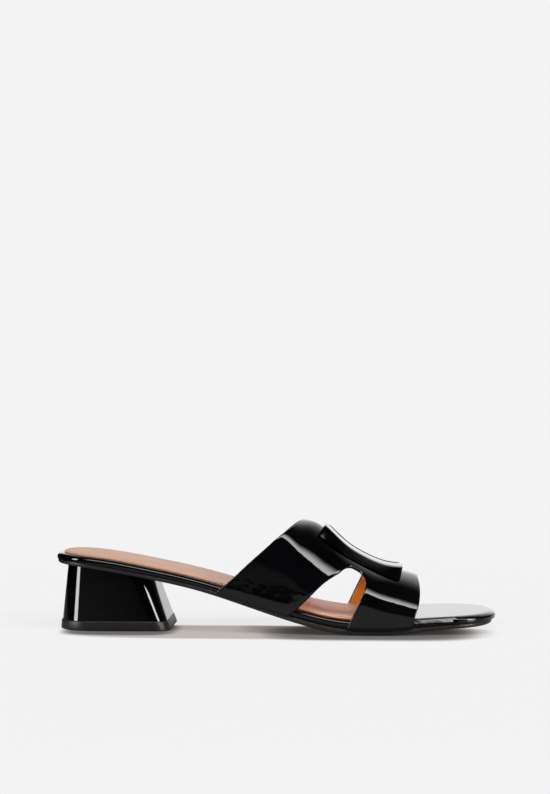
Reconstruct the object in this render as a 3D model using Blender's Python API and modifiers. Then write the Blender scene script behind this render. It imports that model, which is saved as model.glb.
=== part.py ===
# Heeled mule, right shoe: sole, block heel, wrapped insole, tan sock, H-strap upper and saddle bar.
# Sizes are in millimetres: x runs from the heel back to the toe, y from the outer side (-) to the
# inner side (+), z up from the floor.  The finished pieces hang from one empty in metres.
import math

import bmesh
import bpy
import numpy as np
from mathutils import Vector

MM = 0.001
LENGTH = 250.5
GAP = 0.3

# Sole: height of the tread and of the insole's top over the floor, along the shoe.
SOLE_COLUMNS = ("x", "tread", "bed")
SOLE_ROWS = (
    (0.0, 37.2, 42.9),
    (14.0, 36.0, 42.2),
    (28.0, 34.0, 40.7),
    (55.0, 29.3, 35.9),
    (83.0, 23.2, 29.8),
    (107.0, 15.9, 23.1),
    (130.0, 8.6, 16.6),
    (150.0, 3.2, 11.3),
    (166.0, 0.4, 8.7),
    (182.0, 0.0, 8.2),
    (200.0, 0.7, 8.9),
    (216.0, 2.5, 9.7),
    (234.0, 3.4, 10.3),
    (252.0, 4.3, 10.8),
)
TREAD_FLAT = (175.0, 193.0)
OUTSOLE_SHARE = 0.345

# Plan: half widths of the insole on the outer and inner side, and how far the outsole stands out.
PLAN_COLUMNS = ("x", "outer", "inner", "ledge")
PLAN_ROWS = (
    (0.0, 26.5, 26.5, -0.5),
    (30.0, 27.2, 27.0, -0.7),
    (60.0, 28.3, 27.6, -0.4),
    (90.0, 30.0, 28.4, 0.1),
    (120.0, 33.2, 30.4, 0.5),
    (150.0, 37.8, 34.6, 0.6),
    (172.0, 39.8, 38.0, 0.6),
    (195.0, 39.0, 39.2, 0.4),
    (215.0, 36.4, 38.2, -0.8),
    (232.0, 33.2, 35.8, -1.6),
    (252.0, 29.0, 32.0, -2.0),
)
HEEL_END = 27.0
HEEL_POWER = 2.3
TOE_AXIS = 1.0
TOE_END_OUTER = 25.0
TOE_END_INNER = 23.0
TOE_POWER_OUTER = 2.5
TOE_POWER_INNER = 2.4
SOLE_STATIONS = 42
CROSS_STEPS = 4

INSOLE_EDGE = 2.2
INSOLE_EDGE_STEPS = 4
OUTSOLE_EDGE = 1.0
SOCK_INSET = 3.2
SOCK_THICKNESS = 0.9
SOCK_FRONT = 193.0

# Block heel: back, breast, half width, back and front corner radius, and the lift under it.
HEEL_TOP = (7.4, 56.8, 24.0, 14.5, 12.0)
HEEL_BOTTOM = (4.1, 64.8, 26.4, 17.5, 9.0)
HEEL_LEVELS = 8
LIFT_HEIGHT = 5.3
LIFT_STEP = 0.5
LIFT_EDGE = 0.4
LIFT_TOE = 1.2
ARC_STEPS = 6
SIDE_STEPS = 6

# Upper: ridge height over the floor, how steeply the section starts, the share of its height that
# is a plain wall, and the power of the arch above that wall.
WALL = 1.8
RIDGE_COLUMNS = ("x", "ridge", "side_full", "upright", "power", "lean")
RIDGE_ROWS = (
    (90.0, 71.5, 0.50, 0.095, 3.90, 0.066),
    (122.0, 65.3, 0.50, 0.095, 3.90, 0.066),
    (132.0, 63.2, 0.50, 0.14, 3.30, 0.058),
    (141.0, 61.6, 0.50, 0.18, 2.21, 0.033),
    (149.0, 59.5, 0.50, 0.208, 1.73, 0.010),
    (156.0, 54.3, 0.50, 0.21, 1.69, 0.0),
    (165.0, 46.3, 0.50, 0.225, 1.91, 0.0),
    (175.0, 40.1, 0.50, 0.26, 2.00, 0.0),
    (186.0, 35.4, 0.52, 0.19, 1.94, 0.0),
    (197.0, 32.7, 0.54, 0.10, 1.84, 0.0),
    (205.0, 30.5, 0.56, 0.04, 1.76, 0.0),
    (214.0, 26.5, 0.56, 0.02, 1.74, 0.0),
)
RIDGE_Y = 1.0
# Cut lines of the H: where each crosses a lane.  Lane -1 is the tucked end at the outsole,
# 0 the insole's top, 1 the ridge.
CUT_COLUMNS = ("lane", "collar", "gap_back", "gap_front", "mouth")
CUT_ROWS = (
    (-1.0, 93.8, 134.0, 167.3, 203.2),
    (0.0, 97.9, 138.4, 169.4, 203.8),
    (0.12, 104.7, 145.4, 172.2, 205.2),
    (0.25, 111.7, 152.2, 175.0, 206.5),
    (0.38, 118.8, 158.5, 177.3, 207.1),
    (0.47, 123.3, 162.4, 178.0, 207.3),
)
APEX_LANE = 0.652
APEX_X = 171.0
GAP_CORNER = 2.6
# On the inner side the cuts lie a little nearer to the middle of the strap.
INNER_COLLAR = 3.4
INNER_GAP_FRONT = -3.3
INNER_MOUTH = -3.0
ARCH_COLUMNS = ("lane", "collar", "mouth")
ARCH_ROWS = (
    (0.47, 123.3, 207.3),
    (0.587, 128.5, 207.2),
    (0.70, 133.4, 206.9),
    (0.80, 137.1, 206.5),
    (0.90, 139.8, 206.2),
    (1.0, 140.7, 206.0),
)
TUCK_STEPS = 2
LEG_STEPS = 5
APEX_STEPS = 7
TOP_STEPS = 6
BACK_STEPS = 9
FRONT_STEPS = 7

# Saddle bar: the lift of its underside and top off the ridge, and how far out its sides come down
# to the upper.  It is a little thicker at its ends.
BAR_COLUMNS = ("x", "under", "top", "foot")
BAR_ROWS = (
    (152.5, 0.5, 2.7, 19.0),
    (155.0, 0.5, 2.6, 19.4),
    (160.0, 0.5, 2.4, 20.0),
    (168.0, 0.5, 2.3, 20.6),
    (182.0, 0.5, 2.3, 22.4),
    (189.0, 0.5, 2.5, 23.8),
    (194.0, 0.5, 3.0, 24.9),
    (197.2, 0.5, 3.5, 25.5),
)
BAR_HALF = 13.0
BAR_CROWN = 0.35
BAR_EDGE = 1.0
BAR_EDGE_TURN = 1.1
BAR_HEM = 0.6
BAR_STEPS = 22
BAR_TOP_STEPS = 4
BAR_UNDER_STEPS = 8
BAR_EDGE_STEPS = 3


def spline(columns, rows, name):
    # smooth curve through one column, running on straight past both ends
    xs = np.array([row[0] for row in rows])
    ys = np.array([row[columns.index(name)] for row in rows])
    step = np.diff(xs)
    count = len(xs)
    bend = np.eye(count)
    rhs = np.zeros(count)
    for i in range(1, count - 1):
        bend[i, i - 1:i + 2] = step[i - 1], 2.0 * (step[i - 1] + step[i]), step[i]
        rhs[i] = 6.0 * ((ys[i + 1] - ys[i]) / step[i] - (ys[i] - ys[i - 1]) / step[i - 1])
    curve = np.linalg.solve(bend, rhs)

    first = (ys[1] - ys[0]) / step[0] - step[0] * curve[1] / 6.0
    last = (ys[-1] - ys[-2]) / step[-1] + step[-1] * curve[-2] / 6.0

    def value(x):
        if x <= xs[0]:
            return float(ys[0] + first * (x - xs[0]))
        if x >= xs[-1]:
            return float(ys[-1] + last * (x - xs[-1]))
        i = int(np.searchsorted(xs, x)) - 1
        a = (xs[i + 1] - x) / step[i]
        b = 1.0 - a
        bow = ((a ** 3 - a) * curve[i] + (b ** 3 - b) * curve[i + 1]) * step[i] ** 2 / 6.0
        return float(a * ys[i] + b * ys[i + 1] + bow)

    return value


tread_curve = spline(SOLE_COLUMNS, SOLE_ROWS, "tread")
bed = spline(SOLE_COLUMNS, SOLE_ROWS, "bed")
plan_outer = spline(PLAN_COLUMNS, PLAN_ROWS, "outer")
plan_inner = spline(PLAN_COLUMNS, PLAN_ROWS, "inner")
ledge = spline(PLAN_COLUMNS, PLAN_ROWS, "ledge")
ridge = spline(RIDGE_COLUMNS, RIDGE_ROWS, "ridge")
side_full = spline(RIDGE_COLUMNS, RIDGE_ROWS, "side_full")
upright = spline(RIDGE_COLUMNS, RIDGE_ROWS, "upright")
power = spline(RIDGE_COLUMNS, RIDGE_ROWS, "power")
lean = spline(RIDGE_COLUMNS, RIDGE_ROWS, "lean")
bar_under = spline(BAR_COLUMNS, BAR_ROWS, "under")
bar_top = spline(BAR_COLUMNS, BAR_ROWS, "top")
bar_foot = spline(BAR_COLUMNS, BAR_ROWS, "foot")


def tread(x):
    if TREAD_FLAT[0] <= x <= TREAD_FLAT[1]:
        return 0.0
    return max(tread_curve(x), 0.0)


def outsole_top(x):
    return tread(x) + OUTSOLE_SHARE * (bed(x) - tread(x))


def insole_bottom(x):
    return outsole_top(x) + GAP


def end_factor(into, reach, power):
    # 1 along the side, falling to 0 round the end of the outline
    if into <= 0.0:
        return 1.0
    return max(1.0 - min(into / reach, 1.0) ** power, 0.0) ** (1.0 / power)


def edge_y(x, inner):
    half = plan_inner(x) if inner else -plan_outer(x)
    half *= end_factor(HEEL_END - x, HEEL_END, HEEL_POWER)
    reach = TOE_END_INNER if inner else TOE_END_OUTER
    power = TOE_POWER_INNER if inner else TOE_POWER_OUTER
    into = x - (LENGTH - reach)
    return TOE_AXIS + (half - TOE_AXIS) * end_factor(into, reach, power) if into > 0.0 else half


def side_points(inner, inset, front=LENGTH):
    # one side of the outline from the heel back, moved inward by an inset that may vary along x
    turn = math.pi if front == LENGTH else math.pi * 0.62
    span = 1.0 - math.cos(turn)
    xs = [front * (1.0 - math.cos(turn * i / SOLE_STATIONS)) / span for i in range(SOLE_STATIONS + 1)]
    points = [Vector((x, edge_y(x, inner))) for x in xs]
    moved = []
    for i, point in enumerate(points):
        amount = inset(point.x) if callable(inset) else inset
        if i == 0:
            moved.append(Vector((point.x + amount, point.y)))
        elif i == SOLE_STATIONS and front == LENGTH:
            moved.append(Vector((point.x - amount, point.y)))
        else:
            along = points[min(i + 1, SOLE_STATIONS)] - points[i - 1]
            inward = Vector((along.y, -along.x)) if inner else Vector((-along.y, along.x))
            moved.append(point + inward.normalized() * amount)
    return moved


def add_strip(bm, first, second):
    for i in range(len(first) - 1):
        bm.faces.new((first[i], first[i + 1], second[i + 1], second[i]))


def add_cap(bm, outer, inner, height):
    # rows across the outline between paired points of its two sides
    rows = []
    for a, b in zip(outer, inner):
        row = [a]
        for k in range(1, CROSS_STEPS):
            spot = a.co.lerp(b.co, k / CROSS_STEPS)
            row.append(bm.verts.new((spot.x, spot.y, height(spot.x))))
        row.append(b)
        rows.append(row)
    for first, second in zip(rows, rows[1:]):
        add_strip(bm, first, second)
    return rows


def slab(name, edge_rows, bottom, top, front=LENGTH):
    # closed sheet between two heights, its edge drawn by rows of inset and height
    bm = bmesh.new()
    rings = []
    for inset, height in edge_rows:
        sides = []
        for inner in (False, True):
            points = side_points(inner, inset, front)
            sides.append([bm.verts.new((p.x, p.y, height(p.x))) for p in points])
        rings.append(sides)
    for low, high in zip(rings, rings[1:]):
        add_strip(bm, low[0], high[0])
        add_strip(bm, low[1], high[1])
    low_rows = add_cap(bm, rings[0][0], rings[0][1], bottom)
    high_rows = add_cap(bm, rings[-1][0], rings[-1][1], top)
    if front != LENGTH:
        low, high = low_rows[-1], high_rows[-1]
        add_strip(bm, low[1:-1], high[1:-1])
        for k in (0, 1):
            edge = [ring[k][-1] for ring in rings]
            if k == 0:
                bm.faces.new([low[1]] + edge + [high[1]])
            else:
                bm.faces.new([low[-2]] + edge + [high[-2]])
    return finish(name, bm)


def finish(name, bm):
    bmesh.ops.remove_doubles(bm, verts=bm.verts, dist=0.002)
    bmesh.ops.dissolve_degenerate(bm, dist=0.0005, edges=bm.edges)
    bmesh.ops.recalc_face_normals(bm, faces=bm.faces)
    bmesh.ops.scale(bm, vec=(MM, MM, MM), verts=bm.verts)
    mesh = bpy.data.meshes.new(name)
    bm.to_mesh(mesh)
    bm.free()
    piece = bpy.data.objects.new(name, mesh)
    bpy.data.collections["heeled_mule"].objects.link(piece)
    return piece


def build_outsole():
    inset = lambda x: -ledge(x)
    rows = (
        (lambda x: -ledge(x) + OUTSOLE_EDGE, tread),
        (inset, lambda x: tread(x) + OUTSOLE_EDGE),
        (inset, outsole_top),
    )
    return slab("outsole", rows, tread, outsole_top)


def build_insole():
    rows = [(0.5, insole_bottom), (0.0, lambda x: insole_bottom(x) + 0.5)]
    for k in range(INSOLE_EDGE_STEPS + 1):
        turn = 0.5 * math.pi * k / INSOLE_EDGE_STEPS
        inset = INSOLE_EDGE * (1.0 - math.cos(turn))
        drop = INSOLE_EDGE * (1.0 - math.sin(turn))
        rows.append((inset, lambda x, d=drop: bed(x) - d))
    return slab("insole", rows, insole_bottom, bed)


def build_sock():
    low = lambda x: bed(x) + GAP
    high = lambda x: bed(x) + GAP + SOCK_THICKNESS
    rows = (
        (SOCK_INSET, low),
        (SOCK_INSET, lambda x: high(x) - 0.3),
        (SOCK_INSET + 0.3, high),
    )
    return slab("sock", rows, low, high, SOCK_FRONT)


def heel_side(back, breast, half, back_radius, front_radius, grow=0.0, ahead=0.0):
    # outer half of the heel's plan, from the middle of the back to the middle of the breast
    back -= grow
    breast += grow + ahead
    half += grow
    points = [Vector((back, 0.0))]
    centre = Vector((back + back_radius, -half + back_radius))
    for k in range(ARC_STEPS + 1):
        turn = 0.5 * math.pi * k / ARC_STEPS
        points.append(centre + back_radius * Vector((-math.cos(turn), -math.sin(turn))))
    last = breast - front_radius
    first = back + back_radius
    for k in range(1, SIDE_STEPS):
        points.append(Vector((first + (last - first) * k / SIDE_STEPS, -half)))
    centre = Vector((last, -half + front_radius))
    for k in range(ARC_STEPS + 1):
        turn = 0.5 * math.pi * k / ARC_STEPS
        points.append(centre + front_radius * Vector((math.sin(turn), -math.cos(turn))))
    points.append(Vector((breast, 0.0)))
    return points


def heel_loft(name, levels, bottom, top):
    bm = bmesh.new()
    rings = []
    for points, height in levels:
        outer = [bm.verts.new((p.x, p.y, height(p.x))) for p in points]
        inner = [bm.verts.new((p.x, -p.y, height(p.x))) for p in points]
        rings.append((outer, inner))
    for low, high in zip(rings, rings[1:]):
        add_strip(bm, low[0], high[0])
        add_strip(bm, low[1], high[1])
    add_cap(bm, rings[0][0], rings[0][1], bottom)
    add_cap(bm, rings[-1][0], rings[-1][1], top)
    return finish(name, bm)


def build_heel():
    base = LIFT_HEIGHT + GAP
    top = lambda x: tread(x) - GAP
    levels = []
    for k in range(HEEL_LEVELS + 1):
        f = k / HEEL_LEVELS
        sizes = [low + (high - low) * f for low, high in zip(HEEL_BOTTOM, HEEL_TOP)]
        levels.append((heel_side(*sizes), lambda x, f=f: base + f * (top(x) - base)))
    return heel_loft("heel", levels, lambda x: base, top)


def build_lift():
    levels = (
        (heel_side(*HEEL_BOTTOM, grow=LIFT_STEP + 0.3 - LIFT_EDGE, ahead=LIFT_TOE), lambda x: 0.0),
        (heel_side(*HEEL_BOTTOM, grow=LIFT_STEP + 0.3, ahead=LIFT_TOE), lambda x: LIFT_EDGE),
        (heel_side(*HEEL_BOTTOM, grow=LIFT_STEP), lambda x: LIFT_HEIGHT - LIFT_EDGE),
        (heel_side(*HEEL_BOTTOM, grow=LIFT_STEP - LIFT_EDGE), lambda x: LIFT_HEIGHT),
    )
    return heel_loft("heel_top_piece", levels, lambda x: 0.0, lambda x: LIFT_HEIGHT)


def upper_point(x, lane, inner):
    # outer face of the upper at a lane of the section that crosses the foot at x
    base = edge_y(x, inner)
    base += (GAP + WALL) * (1.0 if inner else -1.0)
    if lane <= 0.0:
        return Vector((x, base, bed(x) + lane * (bed(x) - insole_bottom(x))))
    q = 1.0 - lane
    rise = 3.0 * q * q * lane * side_full(x) + 3.0 * q * lane * lane + lane ** 3
    over = max(rise - upright(x), 0.0) / (1.0 - upright(x))
    share = max(1.0 - over ** power(x), 0.0) ** (1.0 / power(x)) * (1.0 - lean(x) * rise)
    return Vector((x, RIDGE_Y + (base - RIDGE_Y) * share, bed(x) + (ridge(x) - bed(x)) * rise))


def upper_drop(x, y):
    # how far the upper's face lies under its ridge, y to the side of it
    inner = y > 0.0
    reach = edge_y(x, inner) + (GAP + WALL) * (1.0 if inner else -1.0) - RIDGE_Y
    over = (1.0 - (y / reach) ** power(x)) ** (1.0 / power(x))
    return (ridge(x) - bed(x)) * (1.0 - upright(x)) * (1.0 - over)


def upper_lanes():
    # lanes from the tucked end to the ridge, drawn together at the top of the side gap
    lanes = [-1.0 + k / TUCK_STEPS for k in range(TUCK_STEPS)]
    shoulder = CUT_ROWS[-1][0]
    lanes += [shoulder * k / LEG_STEPS for k in range(LEG_STEPS)]
    lanes += [shoulder + (APEX_LANE - shoulder) * math.sin(0.5 * math.pi * k / APEX_STEPS)
              for k in range(APEX_STEPS)]
    lanes += [APEX_LANE + (1.0 - APEX_LANE) * k / TOP_STEPS for k in range(TOP_STEPS + 1)]
    return lanes


def mirrored(rows):
    # rows carried on past the ridge, so that a curve crosses it level
    return rows + tuple((2.0 - row[0],) + tuple(row[1:]) for row in rows[-2::-1])


def cut_lines(inner):
    names = CUT_COLUMNS[1:]
    curves = [spline(CUT_COLUMNS, CUT_ROWS[1:], name) for name in names]
    collar_top = spline(ARCH_COLUMNS, mirrored(ARCH_ROWS), "collar")
    mouth_top = spline(ARCH_COLUMNS, mirrored(ARCH_ROWS), "mouth")
    shoulder = CUT_ROWS[-1][0]

    def at(lane):
        fade = 1.0 - max(lane, 0.0) ** 2 if inner else 0.0
        shift = (INNER_COLLAR * fade, 0.0, INNER_GAP_FRONT if inner else 0.0, INNER_MOUTH * fade)
        if lane <= 0.0:
            ends = zip(CUT_ROWS[0][1:], CUT_ROWS[1][1:], shift)
            return [tuck * -lane + top * (1.0 + lane) + move for tuck, top, move in ends]
        if lane <= shoulder:
            return [curve(lane) + move for curve, move in zip(curves, shift)]
        collar = collar_top(lane) + shift[0]
        mouth = mouth_top(lane) + shift[3]
        if lane >= APEX_LANE:
            return [collar, APEX_X, APEX_X, mouth]
        lift = (lane - shoulder) / (APEX_LANE - shoulder)
        arc = 1.0 - max(1.0 - lift ** GAP_CORNER, 0.0) ** (1.0 / GAP_CORNER)
        back = CUT_ROWS[-1][2]
        front = CUT_ROWS[-1][3] + shift[2]
        back += (APEX_X - back) * (0.6 * lift + 0.4 * arc)
        front += (APEX_X - front) * arc
        return [collar, back, front, mouth]

    return at


def build_upper():
    bm = bmesh.new()
    for inner in (False, True):
        at = cut_lines(inner)
        backs = []
        fronts = []
        for lane in upper_lanes():
            collar, gap_back, gap_front, mouth = at(lane)
            row = []
            for k in range(BACK_STEPS + 1):
                x = collar + (gap_back - collar) * k / BACK_STEPS
                row.append(bm.verts.new(upper_point(x, lane, inner)))
            backs.append(row)
            row = []
            for k in range(FRONT_STEPS + 1):
                x = gap_front + (mouth - gap_front) * k / FRONT_STEPS
                row.append(bm.verts.new(upper_point(x, lane, inner)))
            fronts.append(row)
        for rows in (backs, fronts):
            for first, second in zip(rows, rows[1:]):
                add_strip(bm, first, second)
    bmesh.ops.remove_doubles(bm, verts=bm.verts, dist=0.002)
    piece = finish("upper", bm)
    up = max(piece.data.polygons, key=lambda p: p.center.z)
    if up.normal.z < 0.0:
        piece.data.flip_normals()
    shell = piece.modifiers.new("wall", "SOLIDIFY")
    shell.thickness = WALL * MM
    shell.offset = -1.0
    shell.use_even_offset = True
    return piece


def bar_ring(x):
    # section square to the ridge line: a flat top, and sides that come down to the upper
    slope = ridge(x + 0.5) - ridge(x - 0.5)
    up = Vector((-slope, 0.0, 1.0)).normalized()
    middle = Vector((x, RIDGE_Y, ridge(x)))
    high = bar_top(x)
    flat = BAR_HALF - BAR_EDGE
    foot = bar_foot(x)
    hem = foot - BAR_HEM

    def spot(y, lift):
        return middle + Vector((0.0, y, 0.0)) + up * lift

    def top(y):
        return spot(y, high - BAR_CROWN * (y / BAR_HALF) ** 2)

    def under(y, lift=0.0):
        return spot(y, bar_under(x) - upper_drop(x, y) * up.z + lift)

    def side(sign):
        points = []
        for k in range(BAR_EDGE_STEPS + 1):
            turn = BAR_EDGE_TURN * k / BAR_EDGE_STEPS
            y = flat + BAR_EDGE * math.sin(turn)
            points.append(top(sign * y) - up * BAR_EDGE * (1.0 - math.cos(turn)))
        return points + [under(sign * foot, BAR_HEM), under(sign * hem)]

    ring = [top(flat * (2.0 * k / BAR_TOP_STEPS - 1.0)) for k in range(1, BAR_TOP_STEPS)]
    ring += side(1.0)
    ring += [under(hem * (1.0 - 2.0 * k / BAR_UNDER_STEPS)) for k in range(1, BAR_UNDER_STEPS)]
    return ring + side(-1.0)[::-1]


def build_bar():
    bm = bmesh.new()
    first = BAR_ROWS[0][0]
    last = BAR_ROWS[-1][0]
    rings = []
    for k in range(BAR_STEPS + 1):
        x = first + (last - first) * k / BAR_STEPS
        rings.append([bm.verts.new(p) for p in bar_ring(x)])
    for low, high in zip(rings, rings[1:]):
        add_strip(bm, low + low[:1], high + high[:1])
    bm.faces.new(rings[0])
    bm.faces.new(rings[-1])
    return finish("saddle_bar", bm)


def paint(piece, name, colour, roughness, coat=0.0):
    look = bpy.data.materials.new(name)
    look.use_nodes = True
    shader = look.node_tree.nodes["Principled BSDF"]
    shader.inputs["Base Color"].default_value = (*colour, 1.0)
    shader.inputs["Roughness"].default_value = roughness
    shader.inputs["Coat Weight"].default_value = coat
    piece.data.materials.append(look)


for old in list(bpy.data.objects):
    bpy.data.objects.remove(old)
collection = bpy.data.collections.new("heeled_mule")
bpy.context.scene.collection.children.link(collection)

pieces = {
    "outsole": build_outsole(),
    "insole": build_insole(),
    "sock": build_sock(),
    "heel": build_heel(),
    "heel_top_piece": build_lift(),
    "upper": build_upper(),
    "saddle_bar": build_bar(),
}
paint(pieces["outsole"], "sole_rubber", (0.018, 0.018, 0.019), 0.45)
paint(pieces["insole"], "edge_patent", (0.008, 0.008, 0.009), 0.08, 1.0)
paint(pieces["sock"], "sock_leather", (0.50, 0.27, 0.13), 0.5)
paint(pieces["heel"], "heel_patent", (0.008, 0.008, 0.009), 0.1, 1.0)
paint(pieces["heel_top_piece"], "lift_rubber", (0.014, 0.014, 0.015), 0.5)
paint(pieces["upper"], "upper_patent", (0.008, 0.008, 0.009), 0.06, 1.0)
paint(pieces["saddle_bar"], "bar_patent", (0.010, 0.010, 0.011), 0.06, 1.0)

shoe = bpy.data.objects.new("heeled_mule", None)
collection.objects.link(shoe)
widest = [max(abs(edge_y(x, inner)) for x in range(90, 230)) for inner in (False, True)]
shoe.location = (-0.5 * LENGTH * MM, -0.5 * (widest[1] - widest[0]) * MM, 0.0)
for piece in pieces.values():
    piece.parent = shoe
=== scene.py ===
import math

import bmesh
import bpy
import numpy as np
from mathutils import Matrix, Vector


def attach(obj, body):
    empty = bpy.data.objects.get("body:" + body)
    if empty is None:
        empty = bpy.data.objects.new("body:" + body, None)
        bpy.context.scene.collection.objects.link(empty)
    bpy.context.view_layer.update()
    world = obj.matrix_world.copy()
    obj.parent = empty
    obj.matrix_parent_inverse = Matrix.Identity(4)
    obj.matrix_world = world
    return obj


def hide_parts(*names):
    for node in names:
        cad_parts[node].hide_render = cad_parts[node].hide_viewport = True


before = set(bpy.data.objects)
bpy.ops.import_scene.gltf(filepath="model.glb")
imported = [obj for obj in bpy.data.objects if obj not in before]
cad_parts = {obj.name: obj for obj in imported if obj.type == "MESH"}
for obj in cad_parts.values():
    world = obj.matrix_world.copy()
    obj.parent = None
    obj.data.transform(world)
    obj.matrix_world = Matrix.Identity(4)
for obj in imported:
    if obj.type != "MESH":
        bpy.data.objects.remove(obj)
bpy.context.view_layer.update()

# Shape of the shoe in millimetres: x from the heel back to the toe, y from the outer side (-)
# to the inner side (+), z up from the floor.
shoe = {
    "length": 250.5,
    "gap": 0.3,
    "heelEnd": 27.0,
    "heelPower": 2.3,
    "toeAxis": 1.0,
    "toeEndOuter": 25.0,
    "toeEndInner": 23.0,
    "toePowerOuter": 2.5,
    "toePowerInner": 2.4,
    "flatFrom": 175.0,
    "flatTo": 193.0,
    "outsoleShare": 0.345,
    "widestSpan": (90, 230),
    "shortTurn": 0.62,  # spreads the stations of a sheet that ends before the toe
}
soleLine = {
    "x": (0.0, 14.0, 28.0, 55.0, 83.0, 107.0, 130.0, 150.0, 166.0, 182.0, 200.0, 216.0, 234.0, 252.0),
    "tread": (37.2, 36.0, 34.0, 29.3, 23.2, 15.9, 8.6, 3.2, 0.4, 0.0, 0.7, 2.5, 3.4, 4.3),
    "bed": (42.9, 42.2, 40.7, 35.9, 29.8, 23.1, 16.6, 11.3, 8.7, 8.2, 8.9, 9.7, 10.3, 10.8),
}
planLine = {
    "x": (0.0, 30.0, 60.0, 90.0, 120.0, 150.0, 172.0, 195.0, 215.0, 232.0, 252.0),
    "outer": (26.5, 27.2, 28.3, 30.0, 33.2, 37.8, 39.8, 39.0, 36.4, 33.2, 29.0),
    "inner": (26.5, 27.0, 27.6, 28.4, 30.4, 34.6, 38.0, 39.2, 38.2, 35.8, 32.0),
    "ledge": (-0.5, -0.7, -0.4, 0.1, 0.5, 0.6, 0.6, 0.4, -0.8, -1.6, -2.0),
}


def spline(xs, ys):
    # smooth curve through the points, straight past both ends
    xs = np.array(xs, float)
    ys = np.array(ys, float)
    step = np.diff(xs)
    count = len(xs)
    bend = np.eye(count)
    rhs = np.zeros(count)
    for i in range(1, count - 1):
        bend[i, i - 1:i + 2] = step[i - 1], 2.0 * (step[i - 1] + step[i]), step[i]
        rhs[i] = 6.0 * ((ys[i + 1] - ys[i]) / step[i] - (ys[i] - ys[i - 1]) / step[i - 1])
    curve = np.linalg.solve(bend, rhs)
    first = (ys[1] - ys[0]) / step[0] - step[0] * curve[1] / 6.0
    last = (ys[-1] - ys[-2]) / step[-1] + step[-1] * curve[-2] / 6.0

    def value(x):
        if x <= xs[0]:
            return float(ys[0] + first * (x - xs[0]))
        if x >= xs[-1]:
            return float(ys[-1] + last * (x - xs[-1]))
        i = int(np.searchsorted(xs, x)) - 1
        a = (xs[i + 1] - x) / step[i]
        b = 1.0 - a
        bow = ((a ** 3 - a) * curve[i] + (b ** 3 - b) * curve[i + 1]) * step[i] ** 2 / 6.0
        return float(a * ys[i] + b * ys[i + 1] + bow)

    return value


treadCurve = spline(soleLine["x"], soleLine["tread"])
bed = spline(soleLine["x"], soleLine["bed"])
planOuter = spline(planLine["x"], planLine["outer"])
planInner = spline(planLine["x"], planLine["inner"])
ledge = spline(planLine["x"], planLine["ledge"])


def tread(x):
    if shoe["flatFrom"] <= x <= shoe["flatTo"]:
        return 0.0
    return max(treadCurve(x), 0.0)


def outsoleTop(x):
    return tread(x) + shoe["outsoleShare"] * (bed(x) - tread(x))


def insoleBottom(x):
    return outsoleTop(x) + shoe["gap"]


def endFactor(into, reach, power):
    if into <= 0.0:
        return 1.0
    return max(1.0 - min(into / reach, 1.0) ** power, 0.0) ** (1.0 / power)


def edgeY(x, inner):
    # the insole's edge, rounded off at the heel and the toe
    half = planInner(x) if inner else -planOuter(x)
    half *= endFactor(shoe["heelEnd"] - x, shoe["heelEnd"], shoe["heelPower"])
    reach = shoe["toeEndInner"] if inner else shoe["toeEndOuter"]
    power = shoe["toePowerInner"] if inner else shoe["toePowerOuter"]
    into = x - (shoe["length"] - reach)
    if into <= 0.0:
        return half
    return shoe["toeAxis"] + (half - shoe["toeAxis"]) * endFactor(into, reach, power)


widest = [max(abs(edgeY(x, inner)) for x in range(*shoe["widestSpan"])) for inner in (False, True)]
shoeShift = Vector((-0.5 * shoe["length"], -0.5 * (widest[1] - widest[0]), 0.0))


def sidePoints(inner, inset, stations, front):
    # one side of the outline from the heel back, moved inward by a distance that may vary along x
    whole = front >= shoe["length"]
    turn = math.pi if whole else math.pi * shoe["shortTurn"]
    span = 1.0 - math.cos(turn)
    xs = [front * (1.0 - math.cos(turn * i / stations)) / span for i in range(stations + 1)]
    points = [Vector((x, edgeY(x, inner))) for x in xs]
    moved = []
    for i, point in enumerate(points):
        amount = inset(point.x) if callable(inset) else inset
        if i == 0:
            moved.append(Vector((point.x + amount, point.y)))
        elif i == stations and whole:
            moved.append(Vector((point.x - amount, point.y)))
        else:
            along = points[min(i + 1, stations)] - points[i - 1]
            inward = Vector((along.y, -along.x)) if inner else Vector((-along.y, along.x))
            moved.append(point + inward.normalized() * amount)
    return moved


def addStrip(bm, first, second):
    faces = []
    for i in range(len(first) - 1):
        faces.append(bm.faces.new((first[i], first[i + 1], second[i + 1], second[i])))
    return faces


def addCap(bm, outer, inner, height, across):
    rows = []
    for a, b in zip(outer, inner):
        row = [a]
        for k in range(1, across):
            spot = a.co.lerp(b.co, k / across)
            row.append(bm.verts.new((spot.x, spot.y, height(spot.x))))
        row.append(b)
        rows.append(row)
    for first, second in zip(rows, rows[1:]):
        addStrip(bm, first, second)
    return rows


cleaning = {"merge": 0.002, "dissolve": 0.0004, "crease": 40.0}


def makePiece(name, bm, looks, crease=cleaning["crease"]):
    # clean the mesh, bring it to metres in the shared frame and link it
    bmesh.ops.remove_doubles(bm, verts=bm.verts, dist=cleaning["merge"])
    bmesh.ops.dissolve_degenerate(bm, dist=cleaning["dissolve"], edges=bm.edges)
    bmesh.ops.recalc_face_normals(bm, faces=bm.faces)
    for v in bm.verts:
        v.co = (v.co + shoeShift) * 0.001
    for f in bm.faces:
        f.smooth = True
    mesh = bpy.data.meshes.new(name)
    bm.to_mesh(mesh)
    bm.free()
    mesh.set_sharp_from_angle(angle=math.radians(crease))
    for look in looks:
        mesh.materials.append(look)
    piece = bpy.data.objects.new(name, mesh)
    bpy.context.scene.collection.objects.link(piece)
    return piece


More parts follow.
